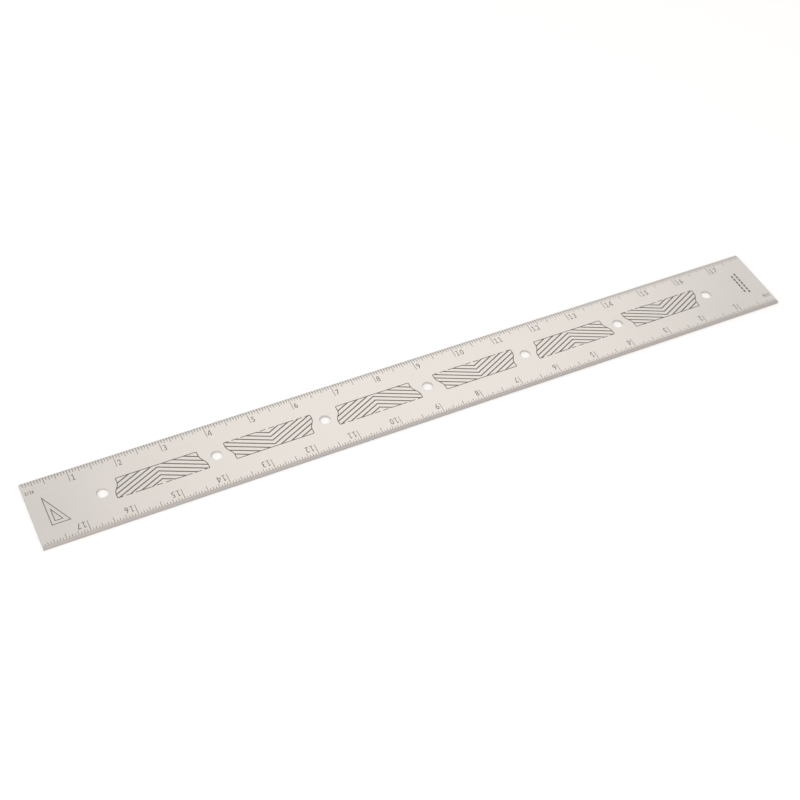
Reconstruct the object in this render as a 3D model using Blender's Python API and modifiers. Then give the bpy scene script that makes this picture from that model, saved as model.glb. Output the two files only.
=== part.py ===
"""Steel ruler: one flat blade, eighteen inches long.

The blade is a single piece of stainless steel. Both long edges are chamfered on the
top side, and each has an inch scale. The far scale runs over its chamfer to the edge,
and the near scale stops where its chamfer starts. The scales read in opposite
directions. Seven round holes lie on the centre line, and a panel of engraved chevrons
fills each space between them.

Frame: X along the blade, Y across it, Z up, with the origin at the middle of the
underside. All sizes are in metres.
"""
import math

import bmesh
import bpy
from mathutils import Matrix

MM = 0.001
INCH = 0.0254

# Blade
LENGTH = 18 * INCH
WIDTH = 45.0 * MM
THICKNESS = 1.5 * MM
CHAMFER_WIDTH = 1.7 * MM
CHAMFER_DROP = 0.3 * MM

# Through holes
HOLE_DIAMETER = 0.25 * INCH
HOLE_COUNT = 7
HOLE_SPACING = 2.5 * INCH
HOLE_SIDES = 48

# Engraved lines
ENGRAVE_DEPTH = 0.15 * MM
TICK_WIDTH = 0.35 * MM
TICK_EDGE_GAP = 0.2 * MM
QUARTER_TICK = 3.9 * MM
HALF_TICK = 5.0 * MM
INCH_TICK = 8.6 * MM

# Chevron panels, in a frame at each panel's own centre
PANEL_COUNT = HOLE_COUNT - 1
PANEL_HALF_HEIGHT = 6.5 * MM
PANEL_NARROW_HALF = 22.5 * MM
PANEL_WIDE_HALF = 25.4 * MM
SHOULDER_TOP = 2.2 * MM
SHOULDER_BOTTOM = -2.4 * MM
BORDER_WIDTH = 0.6 * MM
CHEVRON_WIDTH = 0.9 * MM
CHEVRON_PITCH = 2.85 * MM
CHEVRON_SLOPE = math.radians(25)
FIRST_APEX = 5.0 * MM
CHEVRONS_OVER_FIRST = 3
CHEVRONS_UNDER_FIRST = 3
CHEVRON_END_GAP = 0.25 * MM
BORDER_GAPS = (5.0 * MM, 16.4 * MM, 21.6 * MM)
BORDER_GAP_WIDTH = 1.7 * MM

# How far a cutter stands out of the faces that it goes through
CUTTER_RISE = 1.0 * MM
MERGE_DISTANCE = 1e-6

# A section's X becomes the blade's Y, its Y becomes Z, and its height becomes X.
SECTION_TO_BLADE = Matrix(((0, 0, 1, 0), (1, 0, 0, 0), (0, 1, 0, 0), (0, 0, 0, 1)))


def clear_scene():
    for obj in list(bpy.data.objects):
        bpy.data.objects.remove(obj)


def new_collection(name):
    collection = bpy.data.collections.new(name)
    bpy.context.scene.collection.children.link(collection)
    return collection


def steel_material():
    material = bpy.data.materials.new("satin_steel")
    material.use_nodes = True
    shader = material.node_tree.nodes["Principled BSDF"]
    shader.inputs["Base Color"].default_value = (0.62, 0.60, 0.58, 1.0)
    shader.inputs["Metallic"].default_value = 1.0
    shader.inputs["Roughness"].default_value = 0.35
    return material


def add_object(name, mesh, collection):
    obj = bpy.data.objects.new(name, mesh)
    collection.objects.link(obj)
    return obj


def outline_curve(name, outlines, half_height, filled):
    """A flat curve of straight-sided outlines, given height along its own Z.

    outlines is a list of (points, closed).
    """
    curve = bpy.data.curves.new(name, "CURVE")
    curve.dimensions = "2D"
    curve.fill_mode = "BOTH" if filled else "NONE"
    curve.extrude = half_height
    for points, closed in outlines:
        spline = curve.splines.new("POLY")
        spline.points.add(len(points) - 1)
        for point, (x, y) in zip(spline.points, points):
            point.co = (x, y, 0.0, 1.0)
        spline.use_cyclic_u = closed
    return curve


def mesh_from_curve(curve, matrix):
    """The curve as a mesh with its seams closed, moved by matrix."""
    holder = bpy.data.objects.new(curve.name, curve)
    bpy.context.scene.collection.objects.link(holder)
    bpy.context.view_layer.update()
    evaluated = holder.evaluated_get(bpy.context.evaluated_depsgraph_get())
    mesh = bpy.data.meshes.new_from_object(evaluated)
    bpy.data.objects.remove(holder)
    bm = bmesh.new()
    bm.from_mesh(mesh)
    bmesh.ops.remove_doubles(bm, verts=bm.verts, dist=MERGE_DISTANCE)
    bmesh.ops.recalc_face_normals(bm, faces=bm.faces)
    bm.transform(matrix)
    bm.to_mesh(mesh)
    bm.free()
    return mesh


def joined_copies(name, copies):
    """One mesh made of copies of others: copies is a list of (mesh, matrix)."""
    bm = bmesh.new()
    for source, matrix in copies:
        piece = source.copy()
        piece.transform(matrix)
        bm.from_mesh(piece)
        bpy.data.meshes.remove(piece)
    mesh = bpy.data.meshes.new(name)
    bm.to_mesh(mesh)
    bm.free()
    return mesh


def blade_mesh():
    """The blade's cross-section, drawn once and given the blade's length."""
    side = WIDTH / 2
    crease = side - CHAMFER_WIDTH
    shoulder = THICKNESS - CHAMFER_DROP
    section = [
        (-side, 0.0),
        (side, 0.0),
        (side, shoulder),
        (crease, THICKNESS),
        (-crease, THICKNESS),
        (-side, shoulder),
    ]
    curve = outline_curve("blade_section", [(section, True)], LENGTH / 2, True)
    return mesh_from_curve(curve, SECTION_TO_BLADE)


def row_positions(count, spacing):
    return [(index - (count - 1) / 2) * spacing for index in range(count)]


def hole_cutter_mesh():
    bm = bmesh.new()
    for x in row_positions(HOLE_COUNT, HOLE_SPACING):
        bmesh.ops.create_cone(
            bm,
            cap_ends=True,
            segments=HOLE_SIDES,
            radius1=HOLE_DIAMETER / 2,
            radius2=HOLE_DIAMETER / 2,
            depth=THICKNESS + 2 * CUTTER_RISE,
            matrix=Matrix.Translation((x, 0, THICKNESS / 2)),
        )
    mesh = bpy.data.meshes.new("hole_cutter")
    bm.to_mesh(mesh)
    bm.free()
    return mesh


def tick_mesh(length, over_chamfer):
    """A cutter for one graduation at the far edge, up to the edge or to its chamfer."""
    edge = WIDTH / 2
    outer = edge - TICK_EDGE_GAP
    crease = edge - CHAMFER_WIDTH
    slope = CHAMFER_DROP / CHAMFER_WIDTH
    floor = THICKNESS - ENGRAVE_DEPTH
    top = THICKNESS + CUTTER_RISE
    profile = [(edge - length, top), (edge - length, floor), (crease, floor)]
    if over_chamfer:
        profile += [(outer, floor - slope * (outer - crease)), (outer, top)]
    else:
        profile += [(crease, top)]
    curve = outline_curve("tick", [(profile, True)], TICK_WIDTH / 2, True)
    return mesh_from_curve(curve, SECTION_TO_BLADE)


def graduation_cutter_mesh():
    """Every quarter inch of both scales. The near scale is made at the far edge, then turned."""
    lengths = {1: QUARTER_TICK, 2: HALF_TICK, 3: QUARTER_TICK, 0: INCH_TICK}
    far_ticks = {length: tick_mesh(length, True) for length in set(lengths.values())}
    near_ticks = {length: tick_mesh(length, False) for length in set(lengths.values())}
    half_turn = Matrix.Rotation(math.pi, 4, "Z")
    quarters = round(4 * LENGTH / INCH)
    copies = []
    for quarter in range(1, quarters):
        place = Matrix.Translation((quarter * INCH / 4 - LENGTH / 2, 0, 0))
        length = lengths[quarter % 4]
        copies.append((far_ticks[length], place))
        copies.append((near_ticks[length], half_turn @ place))
    return joined_copies("graduation_cutter", copies)


def border_x(y):
    """The panel's half width at height y: narrow above its shoulder, wide below."""
    if y >= SHOULDER_TOP:
        return PANEL_NARROW_HALF
    if y <= SHOULDER_BOTTOM:
        return PANEL_WIDE_HALF
    rise = (y - SHOULDER_BOTTOM) / (SHOULDER_TOP - SHOULDER_BOTTOM)
    return PANEL_WIDE_HALF + rise * (PANEL_NARROW_HALF - PANEL_WIDE_HALF)


def border_outlines():
    """The panel's border: a long line round three sides, and dashes along the fourth."""
    bottom = -PANEL_HALF_HEIGHT
    gap = BORDER_GAP_WIDTH / 2
    corners = [
        (BORDER_GAPS[-1] + gap, bottom),
        (PANEL_WIDE_HALF, bottom),
        (PANEL_WIDE_HALF, SHOULDER_BOTTOM),
        (PANEL_NARROW_HALF, SHOULDER_TOP),
        (PANEL_NARROW_HALF, PANEL_HALF_HEIGHT),
    ]
    mirrored = [(-x, y) for x, y in reversed(corners)]
    outlines = [(corners + mirrored, False)]
    starts = (0.0,) + BORDER_GAPS[:-1]
    for start, end in zip(starts, BORDER_GAPS):
        dash = [(start + gap, bottom), (end - gap, bottom)]
        outlines.append((dash, False))
        outlines.append(([(-x, y) for x, y in reversed(dash)], False))
    return outlines


def chevron_end(apex, direction):
    """Where the arm that falls from an apex meets the border, on one side."""
    slope = math.tan(CHEVRON_SLOPE)
    bottom = -PANEL_HALF_HEIGHT + CHEVRON_END_GAP
    x = (apex - bottom) / slope
    for _ in range(20):
        x = min(x, border_x(apex - slope * x))
    return direction * x, apex - slope * x


def chevron_outlines():
    top = PANEL_HALF_HEIGHT - CHEVRON_END_GAP
    outlines = []
    for step in range(-CHEVRONS_OVER_FIRST, CHEVRONS_UNDER_FIRST + 1):
        apex = FIRST_APEX - step * CHEVRON_PITCH
        right = chevron_end(apex, 1)
        left = chevron_end(apex, -1)
        if apex < top:
            outlines.append(([left, (0.0, apex), right], False))
            continue
        start = (apex - top) / math.tan(CHEVRON_SLOPE)
        outlines.append(([(start, top), right], False))
        outlines.append(([left, (-start, top)], False))
    return outlines


def panel_cutter_mesh(name, outlines):
    """Upright ribbons along the outlines, one set for each panel.

    Every second panel is turned half round, so its chevrons point the other way.
    """
    rise = (CUTTER_RISE + ENGRAVE_DEPTH) / 2
    curve = outline_curve(name, outlines, rise, False)
    lift = Matrix.Translation((0, 0, THICKNESS - ENGRAVE_DEPTH + rise))
    ribbon = mesh_from_curve(curve, lift)
    copies = []
    for index, x in enumerate(row_positions(PANEL_COUNT, HOLE_SPACING)):
        turn = Matrix.Rotation(math.pi * (index % 2), 4, "Z")
        copies.append((ribbon, Matrix.Translation((x, 0, 0)) @ turn))
    return joined_copies(name, copies)


def add_thickness(obj, thickness):
    solidify = obj.modifiers.new("line_width", "SOLIDIFY")
    solidify.thickness = thickness
    solidify.offset = 0.0
    solidify.use_even_offset = True


def cut(obj, cutter):
    cutter.hide_render = True
    cutter.display_type = "WIRE"
    boolean = obj.modifiers.new(cutter.name, "BOOLEAN")
    boolean.operation = "DIFFERENCE"
    boolean.solver = "EXACT"
    boolean.object = cutter


def main():
    clear_scene()
    parts = new_collection("steel_ruler")
    cutters = new_collection("cutters")

    blade = add_object("ruler_blade", blade_mesh(), parts)
    blade.data.materials.append(steel_material())

    holes = add_object("hole_cutter", hole_cutter_mesh(), cutters)
    ticks = add_object("graduation_cutter", graduation_cutter_mesh(), cutters)
    border = add_object("border_cutter", panel_cutter_mesh("border", border_outlines()), cutters)
    add_thickness(border, BORDER_WIDTH)
    chevrons = add_object("chevron_cutter", panel_cutter_mesh("chevron", chevron_outlines()), cutters)
    add_thickness(chevrons, CHEVRON_WIDTH)

    for cutter in (holes, ticks, border, chevrons):
        cut(blade, cutter)


main()
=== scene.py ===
import math

import bpy
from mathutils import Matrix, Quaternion, Vector


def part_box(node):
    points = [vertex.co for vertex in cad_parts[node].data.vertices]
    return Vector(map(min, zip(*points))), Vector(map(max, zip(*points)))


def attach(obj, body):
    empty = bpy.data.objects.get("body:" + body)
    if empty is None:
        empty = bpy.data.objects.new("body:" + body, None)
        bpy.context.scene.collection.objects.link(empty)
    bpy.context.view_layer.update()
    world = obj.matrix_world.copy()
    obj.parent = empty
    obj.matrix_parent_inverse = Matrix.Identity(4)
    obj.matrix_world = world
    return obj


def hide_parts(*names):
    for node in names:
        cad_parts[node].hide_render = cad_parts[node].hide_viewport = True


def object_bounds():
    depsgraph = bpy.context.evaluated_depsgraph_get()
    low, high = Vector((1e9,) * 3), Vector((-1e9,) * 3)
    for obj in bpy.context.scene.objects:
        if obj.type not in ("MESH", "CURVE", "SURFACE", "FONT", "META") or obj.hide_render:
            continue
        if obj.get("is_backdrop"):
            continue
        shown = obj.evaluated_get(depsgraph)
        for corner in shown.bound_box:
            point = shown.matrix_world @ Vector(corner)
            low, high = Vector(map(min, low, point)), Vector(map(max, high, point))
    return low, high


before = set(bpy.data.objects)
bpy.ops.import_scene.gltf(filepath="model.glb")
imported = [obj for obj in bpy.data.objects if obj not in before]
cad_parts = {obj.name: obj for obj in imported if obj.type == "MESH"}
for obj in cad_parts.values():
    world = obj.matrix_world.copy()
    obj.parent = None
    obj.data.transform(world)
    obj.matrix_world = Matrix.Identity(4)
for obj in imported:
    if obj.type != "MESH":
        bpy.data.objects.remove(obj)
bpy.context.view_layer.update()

MM = 0.001
INCH = 0.0254

# The blade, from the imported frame
low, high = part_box("ruler_blade")
HALF_LENGTH = high.x
HALF_WIDTH = high.y
TOP = high.z
LENGTH_INCHES = round(2 * HALF_LENGTH / INCH)
CHAMFER_WIDTH = 1.7 * MM
CHAMFER_DROP = 0.3 * MM
CREASE = HALF_WIDTH - CHAMFER_WIDTH
EDGE_BREAK = 0.06 * MM
EDGE_BREAK_SEGMENTS = 2
SHARP_ANGLE = math.radians(30)  # edges sharper than this are broken
SMOOTH_ANGLE = math.radians(8)  # edges flatter than this are shaded smooth

# The holes
HOLE_DIAMETER = 0.25 * INCH
HOLE_COUNT = 7
HOLE_SPACING = 2.5 * INCH
HOLE_SIDES = 64

# Engraving: how deep a recess goes, how far the top of its oxide lies below the face, and
# how far a cutter's top is lifted to clear the face
RECESS_DEPTH = 0.12 * MM
OXIDE_SINK = 0.03 * MM
CUTTER_RISE = 0.5 * MM

# Points closer than this are one point, and counts this far from a whole number are whole
MERGE_DISTANCE = 0.001 * MM
ROUNDING_ERROR = 0.01

# A face's normal leans up at least this much on a cutter's top, and on a chamfer
CUTTER_TOP_LEAN = 0.7
CHAMFER_LEAN = 0.9

# The scales
LINE_WIDTH = 0.30 * MM
LINE_EDGE_GAP = 0.12 * MM
LINES = (  # length from the edge, then the first one and the spacing in inches
    (2.85 * MM, 1 / 16, 1 / 8),
    (3.3 * MM, 1 / 8, 1 / 4),
    (3.9 * MM, 1 / 4, 1 / 2),
    (5.05 * MM, 1 / 2, 1),
    (8.65 * MM, 1, 1),
)

# The inch numbers and the small label of the divisions, both in a plain face. A pitch runs
# from digit to digit, a weight thickens a digit in units of its font's size, a base is how
# far the digits' feet lie from the edge, and an offset how far to the right they start.
NUMERAL_HEIGHT = 4.1 * MM
NUMERAL_PITCH = 2.75 * MM
NUMERAL_WEIGHT = 0.0
NUMERAL_BASE = 8.45 * MM
NUMERAL_OFFSET = 2.1 * MM
LABEL_HEIGHT = 2.2 * MM
LABEL_PITCH = 1.25 * MM
LABEL_WEIGHT = 0.025
LABEL_BASE = 8.6 * MM
LABEL_OFFSET = 1.8 * MM
NARROWING = 0.77
FONT_DIGIT_HEIGHT = 0.729  # of the font's size
STROKE_WIDTH = 0.095  # of a digit's height
FONT_RESOLUTION = 4
STROKED_DIGITS = {  # each stroke runs between two points, in digit heights
    "1": (
        ((0.02, 0.02), (0.02, 1.0)),
        ((-0.2, 0.05), (0.24, 0.05)),
        ((-0.18, 0.81), (0.04, 0.96)),
    ),
    "4": (
        ((0.13, 0.0), (0.13, 1.0)),
        ((-0.28, 0.27), (0.27, 0.27)),
        ((-0.26, 0.25), (0.12, 0.97)),
    ),
}

# The set square at the left end, by the place of its right angle, and the rows of dashes at
# the right end, each by its place along the blade and its count
SQUARE_CORNER = (-220.4 * MM, -10.0 * MM)
SQUARE_LEGS = (10.4 * MM, 20.0 * MM)
SQUARE_LINE = 0.45 * MM
SQUARE_SIZES = (1.0, 0.45)
DASH_ROWS = ((214.5 * MM, 6), (217.2 * MM, 7))
DASH_PITCH = 2.6 * MM
DASH_LENGTH = 1.9 * MM
DASH_WIDTH = 1.1 * MM

# The chevron panels, each measured from its own centre
PANEL_HALF_HEIGHT = 6.75 * MM
PANEL_NARROW_HALF = 22.8 * MM
PANEL_WIDE_HALF = 25.7 * MM
SHOULDER_TOP = 2.2 * MM
SHOULDER_BOTTOM = -2.4 * MM
CORNER_ROUNDING = 0.8 * MM
SHOULDER_ROUNDING = 1.6 * MM
ROUNDING_SEGMENTS = 4
BORDER_WIDTH = 0.5 * MM
CHEVRON_WIDTH = 0.75 * MM
CHEVRON_PITCH = 2.85 * MM
CHEVRON_SLOPE = math.radians(25)
TOP_APEX = 13.55 * MM
CHEVRON_ROWS = 7
BORDER_GAPS = (0.0, 5.0 * MM, 16.4 * MM, 21.6 * MM)
BORDER_GAP_WIDTH = 1.6 * MM


# ---------------------------------------------------------------- working by hand
def only(obj):
    """Leave edit mode and make this the one selected, active object."""
    if bpy.context.mode != "OBJECT":
        bpy.ops.object.mode_set(mode="OBJECT")
    bpy.ops.object.select_all(action="DESELECT")
    obj.select_set(True)
    bpy.context.view_layer.objects.active = obj


def settle(obj):
    """Put the object's place, turn and size into its mesh."""
    only(obj)
    bpy.ops.object.transform_apply(location=True, rotation=True, scale=True)


def edit(obj, rule=None, kind="VERT"):
    """Open edit mode with what the rule picks selected, or everything."""
    only(obj)
    bpy.ops.object.mode_set(mode="EDIT")
    bpy.ops.mesh.select_mode(type=kind)
    bpy.ops.mesh.select_all(action="DESELECT" if rule else "SELECT")
    if rule:
        bpy.ops.object.mode_set(mode="OBJECT")
        for element in obj.data.vertices if kind == "VERT" else obj.data.polygons:
            element.select = rule(element)
        bpy.ops.object.mode_set(mode="EDIT")


def done():
    """Leave edit mode."""
    bpy.ops.object.mode_set(mode="OBJECT")


def modify(obj, kind, **settings):
    """Add a modifier with these settings, and apply it."""
    only(obj)
    modifier = obj.modifiers.new(kind.lower(), kind)
    for name, value in settings.items():
        setattr(modifier, name, value)
    bpy.ops.object.modifier_apply(modifier=modifier.name)


def repeat(obj, count, step):
    """Repeat the object in a straight row, each copy one step on from the last."""
    modify(
        obj,
        "ARRAY",
        count=count,
        use_relative_offset=False,
        use_constant_offset=True,
        constant_offset_displace=step,
    )


def merge_close_points(obj):
    """Merge the points that a Boolean leaves a hair apart."""
    edit(obj)
    bpy.ops.mesh.remove_doubles(threshold=MERGE_DISTANCE)
    bpy.ops.mesh.dissolve_degenerate(threshold=MERGE_DISTANCE)
    bpy.ops.mesh.select_all(action="SELECT")
    bpy.ops.mesh.delete_loose(use_verts=True, use_edges=True, use_faces=False)
    done()


def remove(*objects):
    for obj in objects:
        bpy.data.objects.remove(obj)


def copy_of(obj, name, x=0.0, y=0.0, turn=0.0):
    """A copy with its own mesh, moved over the blade or turned about the vertical."""
    only(obj)
    bpy.ops.object.duplicate(linked=False)
    copy = bpy.context.object
    copy.name = name
    copy.location = (x, y, 0)
    copy.rotation_euler.z = turn
    settle(copy)
    return copy


def join(name, objects):
    """Join the objects into one with this name."""
    only(objects[0])
    for obj in objects:
        obj.select_set(True)
    bpy.ops.object.join()
    joined = bpy.context.object
    joined.name = name
    return joined


def box(name, corner, opposite):
    """A box between two opposite corners."""
    middle = [(a + b) / 2 for a, b in zip(corner, opposite)]
    bpy.ops.mesh.primitive_cube_add(size=1, location=middle)
    obj = bpy.context.object
    obj.name = name
    obj.scale = [b - a for a, b in zip(corner, opposite)]
    settle(obj)
    return obj


def row(count, spacing):
    """Evenly spaced places along a line, with 0 in the middle."""
    return [(index - (count - 1) / 2) * spacing for index in range(count)]


# ---------------------------------------------------------------- materials
# A Mix node has a socket for each type of data. These are the factor, the two colours and
# the colour that comes out.
FACTOR, COLOUR_A, COLOUR_B, COLOUR_OUT = 0, 6, 7, 2


def linear(hex_colour):
    """A colour given in sRGB hex, as the linear values that shaders use."""
    channels = [int(hex_colour[i : i + 2], 16) / 255 for i in (1, 3, 5)]
    values = [c / 12.92 if c <= 0.04045 else ((c + 0.055) / 1.055) ** 2.4 for c in channels]
    return values + [1.0]


def add_node(tree, kind, inputs=None, **settings):
    """Add a shader node. inputs maps a socket to its value, or to the output that feeds it."""
    node = tree.nodes.new("ShaderNode" + kind)
    for name, value in settings.items():
        setattr(node, name, value)
    for socket, value in (inputs or {}).items():
        if isinstance(value, bpy.types.NodeSocket):
            tree.links.new(value, node.inputs[socket])
        else:
            node.inputs[socket].default_value = value
    return node


def new_material(name):
    """A material with a bare Principled shader, as (material, tree, shader)."""
    material = bpy.data.materials.new(name)
    material.use_nodes = True
    tree = material.node_tree
    return material, tree, tree.nodes["Principled BSDF"]


def satin_ground_stainless():
    """Type 304 stainless, belt ground along its length: soft long grain, a broad sheen."""
    material, tree, shader = new_material("satin_ground_stainless")
    place = add_node(tree, "TexCoord").outputs["Object"]
    # Belt lines are about 0.05 mm wide. They are drawn 0.5 mm wide to show from a metre.
    along = add_node(
        tree, "Mapping", {"Vector": place, "Scale": (1 / 0.09, 1 / 0.0005, 1 / 0.0005)}
    )
    grain = add_node(
        tree, "TexNoise", {"Vector": along.outputs[0], "Scale": 1.0, "Detail": 3.0}
    )
    # Cloudy patches where the belt bit less, about 40 mm across.
    clouds = add_node(tree, "TexNoise", {"Vector": place, "Scale": 1 / 0.04, "Detail": 2.0})
    both = add_node(
        tree, "Math", {0: grain.outputs["Fac"], 1: clouds.outputs["Fac"]}, operation="ADD"
    )
    amount = add_node(
        tree, "MapRange", {"Value": both.outputs[0], "From Min": 0.6, "From Max": 1.4}
    )
    tone = add_node(
        tree,
        "Mix",
        {
            FACTOR: amount.outputs[0],
            COLOUR_A: linear("#CEC8C2"),
            COLOUR_B: linear("#D6D0CA"),
        },
        data_type="RGBA",
    )
    # Hairline scratches from use lie a few degrees off the grain, about 0.3 mm wide here.
    scratch_lie = add_node(
        tree,
        "Mapping",
        {
            "Vector": place,
            "Rotation": (0, 0, math.radians(7)),
            "Scale": (1 / 0.03, 1 / 0.0006, 1),
        },
    )
    scratch_noise = add_node(
        tree, "TexNoise", {"Vector": scratch_lie.outputs[0], "Detail": 1.0}
    )
    scratches = add_node(
        tree,
        "MapRange",
        {"Value": scratch_noise.outputs["Fac"], "From Min": 0.7, "From Max": 0.76},
    )
    worn = add_node(
        tree,
        "Mix",
        {
            FACTOR: scratches.outputs[0],
            COLOUR_A: tone.outputs[COLOUR_OUT],
            COLOUR_B: linear("#C2BCB6"),
        },
        data_type="RGBA",
    )
    rough = add_node(
        tree,
        "MapRange",
        {
            "Value": both.outputs[0],
            "From Min": 0.6,
            "From Max": 1.4,
            "To Min": 0.30,
            "To Max": 0.36,
        },
    )
    bump = add_node(
        tree, "Bump", {"Height": grain.outputs["Fac"], "Strength": 0.25, "Distance": 0.01 * MM}
    )
    tree.links.new(worn.outputs[COLOUR_OUT], shader.inputs["Base Color"])
    tree.links.new(rough.outputs[0], shader.inputs["Roughness"])
    tree.links.new(bump.outputs[0], shader.inputs["Normal"])
    shader.inputs["Metallic"].default_value = 1.0
    return material


def ground_edge_stainless():
    """The same steel ground coarser, its colour darkened as painted shade: the near chamfer,
    the long sides, the ends.
    """
    material, tree, shader = new_material("ground_edge_stainless")
    place = add_node(tree, "TexCoord").outputs["Object"]
    # Grinding marks run across the edge, about 0.3 mm apart.
    across = add_node(
        tree, "Mapping", {"Vector": place, "Scale": (1 / 0.0003, 1 / 0.004, 1 / 0.004)}
    )
    marks = add_node(
        tree, "TexNoise", {"Vector": across.outputs[0], "Scale": 1.0, "Detail": 2.0}
    )
    # These colours, darker than the face's, are painted shade; the grinding marks only vary
    # them.
    tone = add_node(
        tree,
        "Mix",
        {
            FACTOR: marks.outputs["Fac"],
            COLOUR_A: linear("#B5ADA9"),
            COLOUR_B: linear("#C2BBB7"),
        },
        data_type="RGBA",
    )
    rough = add_node(
        tree, "MapRange", {"Value": marks.outputs["Fac"], "To Min": 0.42, "To Max": 0.55}
    )
    bump = add_node(
        tree, "Bump", {"Height": marks.outputs["Fac"], "Strength": 0.3, "Distance": 0.01 * MM}
    )
    tree.links.new(tone.outputs[COLOUR_OUT], shader.inputs["Base Color"])
    tree.links.new(rough.outputs[0], shader.inputs["Roughness"])
    tree.links.new(bump.outputs[0], shader.inputs["Normal"])
    shader.inputs["Metallic"].default_value = 1.0
    return material


def laser_oxide():
    """The dark oxide that the laser leaves: brown-grey, matt, slightly uneven."""
    material, tree, shader = new_material("laser_oxide")
    place = add_node(tree, "TexCoord").outputs["Object"]
    # The beam's passes leave patches about 0.6 mm long.
    passes = add_node(tree, "TexNoise", {"Vector": place, "Scale": 1 / 0.0006, "Detail": 3.0})
    tone = add_node(
        tree,
        "Mix",
        {
            FACTOR: passes.outputs["Fac"],
            COLOUR_A: linear("#5A534D"),
            COLOUR_B: linear("#7A726B"),
        },
        data_type="RGBA",
    )
    rough = add_node(
        tree, "MapRange", {"Value": passes.outputs["Fac"], "To Min": 0.55, "To Max": 0.75}
    )
    tree.links.new(tone.outputs[COLOUR_OUT], shader.inputs["Base Color"])
    tree.links.new(rough.outputs[0], shader.inputs["Roughness"])
    shader.inputs["Metallic"].default_value = 0.3
    return material


def table_paper():
    """The white sweep that the ruler lies on."""
    material, _, shader = new_material("white_paper")
    shader.inputs["Base Color"].default_value = linear("#F2F1F0")
    shader.inputs["Roughness"].default_value = 0.9
    shader.inputs["Specular IOR Level"].default_value = 0.2
    return material


# ---------------------------------------------------------------- the engraving
def thicken(sheet):
    """A flat sheet on the floor of the engraving becomes the layer of oxide there."""
    modify(sheet, "SOLIDIFY", thickness=RECESS_DEPTH - OXIDE_SINK, offset=1.0)


def scale_line(length, first, spacing, outer):
    """One length of graduation, repeated along the far edge.

    It ends at y = outer. A line that goes past the crease folds down with the chamfer.
    """
    x = first * INCH - HALF_LENGTH
    line = box(
        "line",
        (x - LINE_WIDTH / 2, HALF_WIDTH - length, TOP - RECESS_DEPTH),
        (x + LINE_WIDTH / 2, outer, TOP - OXIDE_SINK),
    )
    if outer > CREASE:
        edit(line)
        bpy.ops.mesh.bisect(plane_co=(x, CREASE, TOP), plane_no=(0, 1, 0))
        edit(line, lambda v: v.co.y > (CREASE + outer) / 2)
        drop = (outer - CREASE) * CHAMFER_DROP / CHAMFER_WIDTH
        bpy.ops.transform.translate(value=(0, 0, -drop))
        done()
    # No line falls on the end of the blade itself.
    count = math.ceil((LENGTH_INCHES - first) / spacing - ROUNDING_ERROR)
    repeat(line, count, (spacing * INCH, 0, 0))
    return line


def engraved_digit(character, height, weight):
    """One character as a solid layer, centred on x = 0 with its foot on y = 0."""
    bpy.ops.object.text_add(location=(0, 0, TOP - (RECESS_DEPTH + OXIDE_SINK) / 2))
    text = bpy.context.object
    text.data.body = character
    text.data.size = height / FONT_DIGIT_HEIGHT
    text.data.offset = weight * text.data.size
    text.data.resolution_u = FONT_RESOLUTION
    text.data.align_x = "CENTER"
    text.data.extrude = (RECESS_DEPTH - OXIDE_SINK) / 2
    text.scale.x = NARROWING
    only(text)
    bpy.ops.object.convert(target="MESH")
    digit = bpy.context.object
    settle(digit)
    edit(digit)
    bpy.ops.mesh.remove_doubles(threshold=MERGE_DISTANCE)
    bpy.ops.mesh.normals_make_consistent(inside=False)
    done()
    return digit


def stroked_digit(strokes, height, weight):
    """A character made of straight strokes, each given by its two ends in digit heights."""
    width = (STROKE_WIDTH + 2 * weight) * height
    digit = None
    for start, end in strokes:
        x, y = [(a + b) / 2 * height for a, b in zip(start, end)]
        reach = math.dist(start, end) * height / 2
        stroke = box(
            "stroke",
            (-reach, -width / 2, TOP - RECESS_DEPTH),
            (reach, width / 2, TOP - OXIDE_SINK),
        )
        stroke.location = (x, y, 0)
        stroke.rotation_euler.z = math.atan2(end[1] - start[1], end[0] - start[0])
        settle(stroke)
        if digit:
            modify(digit, "BOOLEAN", operation="UNION", object=stroke)
            remove(stroke)
        else:
            digit = stroke
    return digit


def lettering(texts, height, weight, pitch):
    """Rows of characters, each character modelled once: texts is a list of (text, x, y)."""
    patterns = {}
    row_of = []
    for text, x, y in texts:
        for index, character in enumerate(text):
            if character not in patterns:
                if character in STROKED_DIGITS:
                    pattern = stroked_digit(STROKED_DIGITS[character], height, weight)
                else:
                    pattern = engraved_digit(character, height, weight)
                patterns[character] = pattern
            row_of.append(copy_of(patterns[character], "digit", x + index * pitch, y))
    remove(*patterns.values())
    return join("lettering", row_of)


def scale_numerals():
    """The inch numbers, each to the right of its line, and the label of the divisions."""
    base = HALF_WIDTH - NUMERAL_BASE
    numbers = [
        (str(number), number * INCH - HALF_LENGTH + NUMERAL_OFFSET, base)
        for number in range(1, LENGTH_INCHES)
    ]
    label = [("1/16", LABEL_OFFSET - HALF_LENGTH, HALF_WIDTH - LABEL_BASE)]
    return join("numerals_far", [
        lettering(numbers, NUMERAL_HEIGHT, NUMERAL_WEIGHT, NUMERAL_PITCH),
        lettering(label, LABEL_HEIGHT, LABEL_WEIGHT, LABEL_PITCH),
    ])


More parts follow.
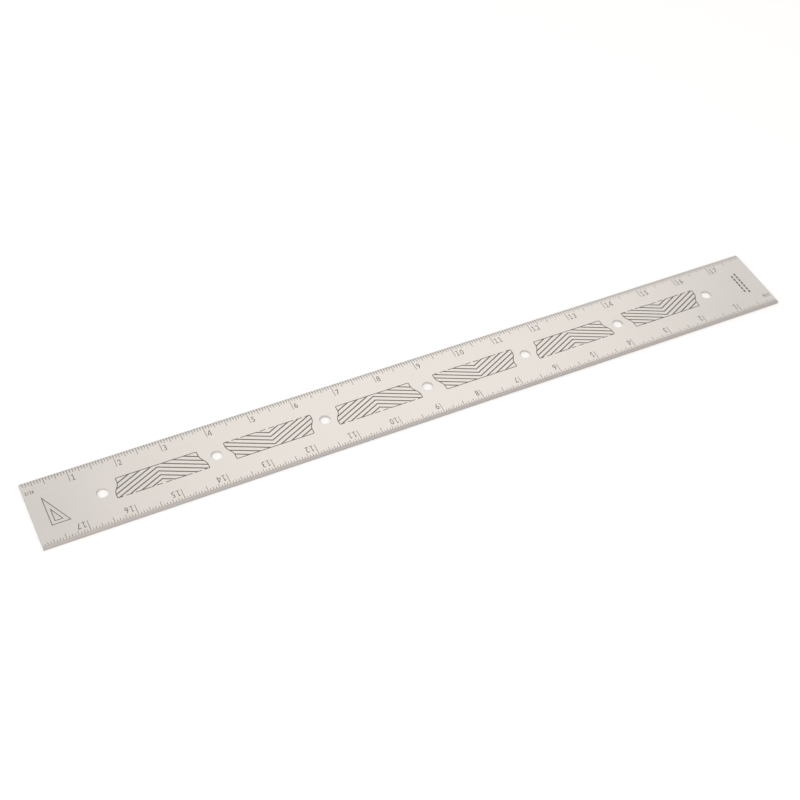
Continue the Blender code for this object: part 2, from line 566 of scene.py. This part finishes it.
def set_square_outline(size):
    """The outline of a set square, shrunk towards the middle of its inscribed circle."""
    floor = TOP - RECESS_DEPTH
    left, foot = SQUARE_CORNER
    across, up = SQUARE_LEGS
    bpy.ops.mesh.primitive_plane_add(size=1, location=(left + across / 2, foot + up / 2, floor))
    outline = bpy.context.object
    outline.scale = (across, up, 1)
    settle(outline)
    edit(outline, lambda v: v.co.x > left + across / 2 and v.co.y > foot + up / 2)
    bpy.ops.mesh.delete(type="VERT")
    edit(outline)
    bpy.ops.mesh.edge_face_add()
    inscribed = (across + up - math.hypot(across, up)) / 2
    centre = (left + inscribed, foot + inscribed, floor)
    edit(outline)
    bpy.ops.transform.resize(value=(size, size, 1), center_override=centre)
    bpy.ops.mesh.select_mode(type="FACE")
    bpy.ops.mesh.select_all(action="SELECT")
    bpy.ops.mesh.inset(thickness=SQUARE_LINE)
    bpy.ops.mesh.delete(type="FACE")
    edit(outline)
    bpy.ops.mesh.normals_make_consistent(inside=False)
    done()
    if outline.data.polygons[0].normal.z < 0:
        edit(outline)
        bpy.ops.mesh.flip_normals()
        done()
    thicken(outline)
    return outline


def set_square_mark():
    """A plain set square near the left end: two outlines, one inside the other."""
    return join("set_square_mark", [set_square_outline(size) for size in SQUARE_SIZES])


def dash_rows():
    """Two rows of plain dashes across the right end."""
    rows = []
    for x, count in DASH_ROWS:
        start = -count * DASH_PITCH / 2 + (DASH_PITCH - DASH_LENGTH) / 2
        dash = box(
            "dash",
            (x - DASH_WIDTH / 2, start, TOP - RECESS_DEPTH),
            (x + DASH_WIDTH / 2, start + DASH_LENGTH, TOP - OXIDE_SINK),
        )
        repeat(dash, count, (0, DASH_PITCH, 0))
        rows.append(dash)
    return join("dash_rows", rows)


def panel_blank():
    """The flat outline of one panel: narrow at its top, wide at its foot."""
    floor = TOP - RECESS_DEPTH
    bpy.ops.mesh.primitive_plane_add(size=2, location=(0, 0, floor))
    blank = bpy.context.object
    blank.scale = (PANEL_NARROW_HALF, PANEL_HALF_HEIGHT, 1)
    settle(blank)
    for y in (SHOULDER_TOP, SHOULDER_BOTTOM):
        edit(blank)
        bpy.ops.mesh.bisect(plane_co=(0, y, floor), plane_no=(0, 1, 0))
    middle = (SHOULDER_TOP + SHOULDER_BOTTOM) / 2
    for side in (-1, 1):
        edit(blank, lambda v: v.co.y < middle and v.co.x * side > 0)
        bpy.ops.transform.translate(value=(side * (PANEL_WIDE_HALF - PANEL_NARROW_HALF), 0, 0))
    edit(blank, kind="FACE")
    bpy.ops.mesh.dissolve_faces()
    edit(blank, lambda v: abs(v.co.y) > PANEL_HALF_HEIGHT / 2)
    bpy.ops.mesh.bevel(affect="VERTICES", offset=CORNER_ROUNDING, segments=ROUNDING_SEGMENTS)
    edit(blank, lambda v: abs(v.co.y) < PANEL_HALF_HEIGHT / 2)
    bpy.ops.mesh.bevel(affect="VERTICES", offset=SHOULDER_ROUNDING, segments=ROUNDING_SEGMENTS)
    done()
    return blank


def panel_border(blank):
    """An even band inside the outline, broken at the gaps in the foot."""
    border = copy_of(blank, "border")
    edit(border, kind="FACE")
    bpy.ops.mesh.inset(thickness=BORDER_WIDTH)
    bpy.ops.mesh.delete(type="FACE")
    done()
    thicken(border)
    for x in BORDER_GAPS:
        for side in (-1, 1) if x else (1,):
            middle = side * x
            gap = box(
                "gap",
                (middle - BORDER_GAP_WIDTH / 2, -PANEL_HALF_HEIGHT - MM, TOP - MM),
                (middle + BORDER_GAP_WIDTH / 2, -PANEL_HALF_HEIGHT + MM, TOP + MM),
            )
            modify(border, "BOOLEAN", operation="DIFFERENCE", object=gap)
            remove(gap)
    return border


def panel_chevrons(blank):
    """Rows of chevrons, trimmed to end under the middle of the border."""
    reach = 2 * PANEL_WIDE_HALF
    arms = box(
        "chevrons",
        (-reach, -CHEVRON_WIDTH / 2, TOP - RECESS_DEPTH),
        (reach, CHEVRON_WIDTH / 2, TOP - OXIDE_SINK),
    )
    arms.location.y = TOP_APEX
    arms.rotation_euler.z = -CHEVRON_SLOPE
    settle(arms)
    modify(
        arms,
        "MIRROR",
        use_axis=(True, False, False),
        use_bisect_axis=(True, False, False),
        merge_threshold=MERGE_DISTANCE,
    )
    repeat(arms, CHEVRON_ROWS, (0, -CHEVRON_PITCH, 0))
    trim = copy_of(blank, "trim")
    edit(trim, kind="FACE")
    bpy.ops.mesh.inset(thickness=BORDER_WIDTH / 2)
    bpy.ops.mesh.select_all(action="INVERT")
    bpy.ops.mesh.delete(type="FACE")
    edit(trim)
    bpy.ops.transform.translate(value=(0, 0, -MM))
    done()
    modify(trim, "SOLIDIFY", thickness=2 * MM, offset=1.0)
    modify(arms, "BOOLEAN", operation="INTERSECT", object=trim)
    remove(trim)
    return arms


def chevron_panels():
    """One panel, then a copy between each pair of holes, every second one turned round."""
    blank = panel_blank()
    border = panel_border(blank)
    chevrons = panel_chevrons(blank)
    modify(border, "BOOLEAN", operation="UNION", object=chevrons)
    merge_close_points(border)
    panels = []
    for index, x in enumerate(row(HOLE_COUNT - 1, HOLE_SPACING)):
        turn = math.pi * (index % 2)
        panels.append(copy_of(border, f"chevron_panel_{index + 1}", x, turn=turn))
    remove(blank, border, chevrons)
    return panels


# ---------------------------------------------------------------- the blade
def plain_blade():
    """The bar, its chamfers and its holes, before anything is engraved."""
    blade = box("blade", (-HALF_LENGTH, -HALF_WIDTH, 0), (HALF_LENGTH, HALF_WIDTH, TOP))
    for side in (-1, 1):
        edit(blade)
        bpy.ops.mesh.bisect(plane_co=(0, side * CREASE, 0), plane_no=(0, 1, 0))
    edit(blade, lambda v: v.co.z > TOP / 2 and abs(v.co.y) > (CREASE + HALF_WIDTH) / 2)
    bpy.ops.transform.translate(value=(0, 0, -CHAMFER_DROP))
    done()
    bpy.ops.mesh.primitive_cylinder_add(
        vertices=HOLE_SIDES,
        radius=HOLE_DIAMETER / 2,
        depth=4 * TOP,
        location=(row(HOLE_COUNT, HOLE_SPACING)[0], 0, TOP / 2),
    )
    drill = bpy.context.object
    settle(drill)
    repeat(drill, HOLE_COUNT, (HOLE_SPACING, 0, 0))
    modify(blade, "BOOLEAN", operation="DIFFERENCE", object=drill)
    remove(drill)
    modify(
        blade,
        "BEVEL",
        width=EDGE_BREAK,
        segments=EDGE_BREAK_SEGMENTS,
        limit_method="ANGLE",
        angle_limit=SHARP_ANGLE,
    )
    return blade


def engrave(blade, marks):
    """Cut every mark out of the blade, up through the face that it lies under."""
    cutters = []
    for mark in marks:
        cutter = copy_of(mark, "cutter")
        edit(cutter, lambda f: f.normal.z > CUTTER_TOP_LEAN, kind="FACE")
        bpy.ops.transform.translate(value=(0, 0, CUTTER_RISE))
        done()
        cutters.append(cutter)
    tool = join("engraving_tool", cutters)
    modify(blade, "BOOLEAN", operation="DIFFERENCE", object=tool, material_mode="TRANSFER")
    remove(tool)
    merge_close_points(blade)


def paint(obj, material):
    """Give the whole object this one material."""
    obj.data.materials.clear()
    obj.data.materials.append(material)


# ---------------------------------------------------------------- make it
satin = satin_ground_stainless()
edge = ground_edge_stainless()
oxide = laser_oxide()

half_turn = math.pi
# The far scale runs over its chamfer, and the near one stops where its chamfer starts.
lines_far = join(
    "graduations_far", [scale_line(*line, HALF_WIDTH - LINE_EDGE_GAP) for line in LINES]
)
lines_short = join("lines_short", [scale_line(*line, CREASE) for line in LINES])
lines_near = copy_of(lines_short, "graduations_near", turn=half_turn)
remove(lines_short)
numerals_far = scale_numerals()
numerals_near = copy_of(numerals_far, "numerals_near", turn=half_turn)
panels = chevron_panels()
marks = [lines_far, lines_near, numerals_far, numerals_near] + panels
marks += [set_square_mark(), dash_rows()]

for mark in marks:
    paint(mark, oxide)

blade = plain_blade()
blade.data.materials.append(satin)
blade.data.materials.append(edge)
# The near chamfer, the long sides and the ends take the darker steel, whose colour is painted
# shade; the far chamfer keeps the face's steel.
for face in blade.data.polygons:
    at_edge = abs(face.center.x) > HALF_LENGTH - MM or abs(face.center.y) > CREASE
    far_chamfer = face.center.y > 0 and face.normal.z > CHAMFER_LEAN
    face.material_index = 1 if at_edge and not far_chamfer else 0
engrave(blade, marks)
only(blade)
bpy.ops.object.shade_smooth_by_angle(angle=SMOOTH_ANGLE)

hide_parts("ruler_blade")
for piece in [blade] + marks:
    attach(piece, "root")

# ---------------------------------------------------------------- studio
# The floor lies just under the blade, so that the two faces don't share a plane.
FLOOR_SIZE = 6.0
FLOOR_GAP = 0.05 * MM

# The camera: an azimuth of 0 looks along +Y.
AIM = Vector((-18.37, -2.17, 0)) * MM
DISTANCE = 798.0 * MM
AZIMUTH = math.radians(-29.58)
ELEVATION = math.radians(48.26)
ROLL = math.radians(4.71)
LENS = 64
SENSOR_WIDTH = 36

# The softboxes: place, size and watts. The first stands where the blade mirrors it to the
# camera, and gives the steel its sheen. The second lights the floor from where the blade
# doesn't mirror it.
SKY_SOFTBOX = ((0.84, 1.54, 2.0), (1.5, 1.2), 3.5)
FLOOR_SOFTBOX = ((-1.4, -0.8, 2.2), (1.5, 1.5), 30)
WORLD_STRENGTH = 0.86

bpy.ops.mesh.primitive_plane_add(size=FLOOR_SIZE, location=(0, 0, -FLOOR_GAP))
floor = bpy.context.object
floor.name = "floor"
paint(floor, table_paper())
floor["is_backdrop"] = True

back = Vector((
    math.sin(AZIMUTH) * math.cos(ELEVATION),
    -math.cos(AZIMUTH) * math.cos(ELEVATION),
    math.sin(ELEVATION),
))
bpy.ops.object.camera_add(location=AIM + back * DISTANCE)
camera = bpy.context.object
camera.rotation_mode = "QUATERNION"
camera.rotation_quaternion = back.to_track_quat("Z", "Y") @ Quaternion((0, 0, 1), ROLL)
camera.data.lens = LENS
camera.data.sensor_width = SENSOR_WIDTH
bpy.context.scene.camera = camera


def softbox(name, place, size, power):
    """A square or oblong lamp that faces the middle of the blade."""
    bpy.ops.object.light_add(type="AREA", location=place)
    lamp = bpy.context.object
    lamp.name = name
    lamp.data.shape = "RECTANGLE"
    lamp.data.size, lamp.data.size_y = size
    lamp.data.energy = power
    lamp.rotation_euler = (-Vector(place)).to_track_quat("-Z", "Y").to_euler()


softbox("sky_softbox", *SKY_SOFTBOX)
softbox("floor_softbox", *FLOOR_SOFTBOX)

world = bpy.data.worlds.new("studio")
world.use_nodes = True
background = world.node_tree.nodes["Background"]
background.inputs["Color"].default_value = (1, 1, 1, 1)
background.inputs["Strength"].default_value = WORLD_STRENGTH
bpy.context.scene.world = world
bpy.context.scene.view_settings.view_transform = "Standard"

low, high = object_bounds()
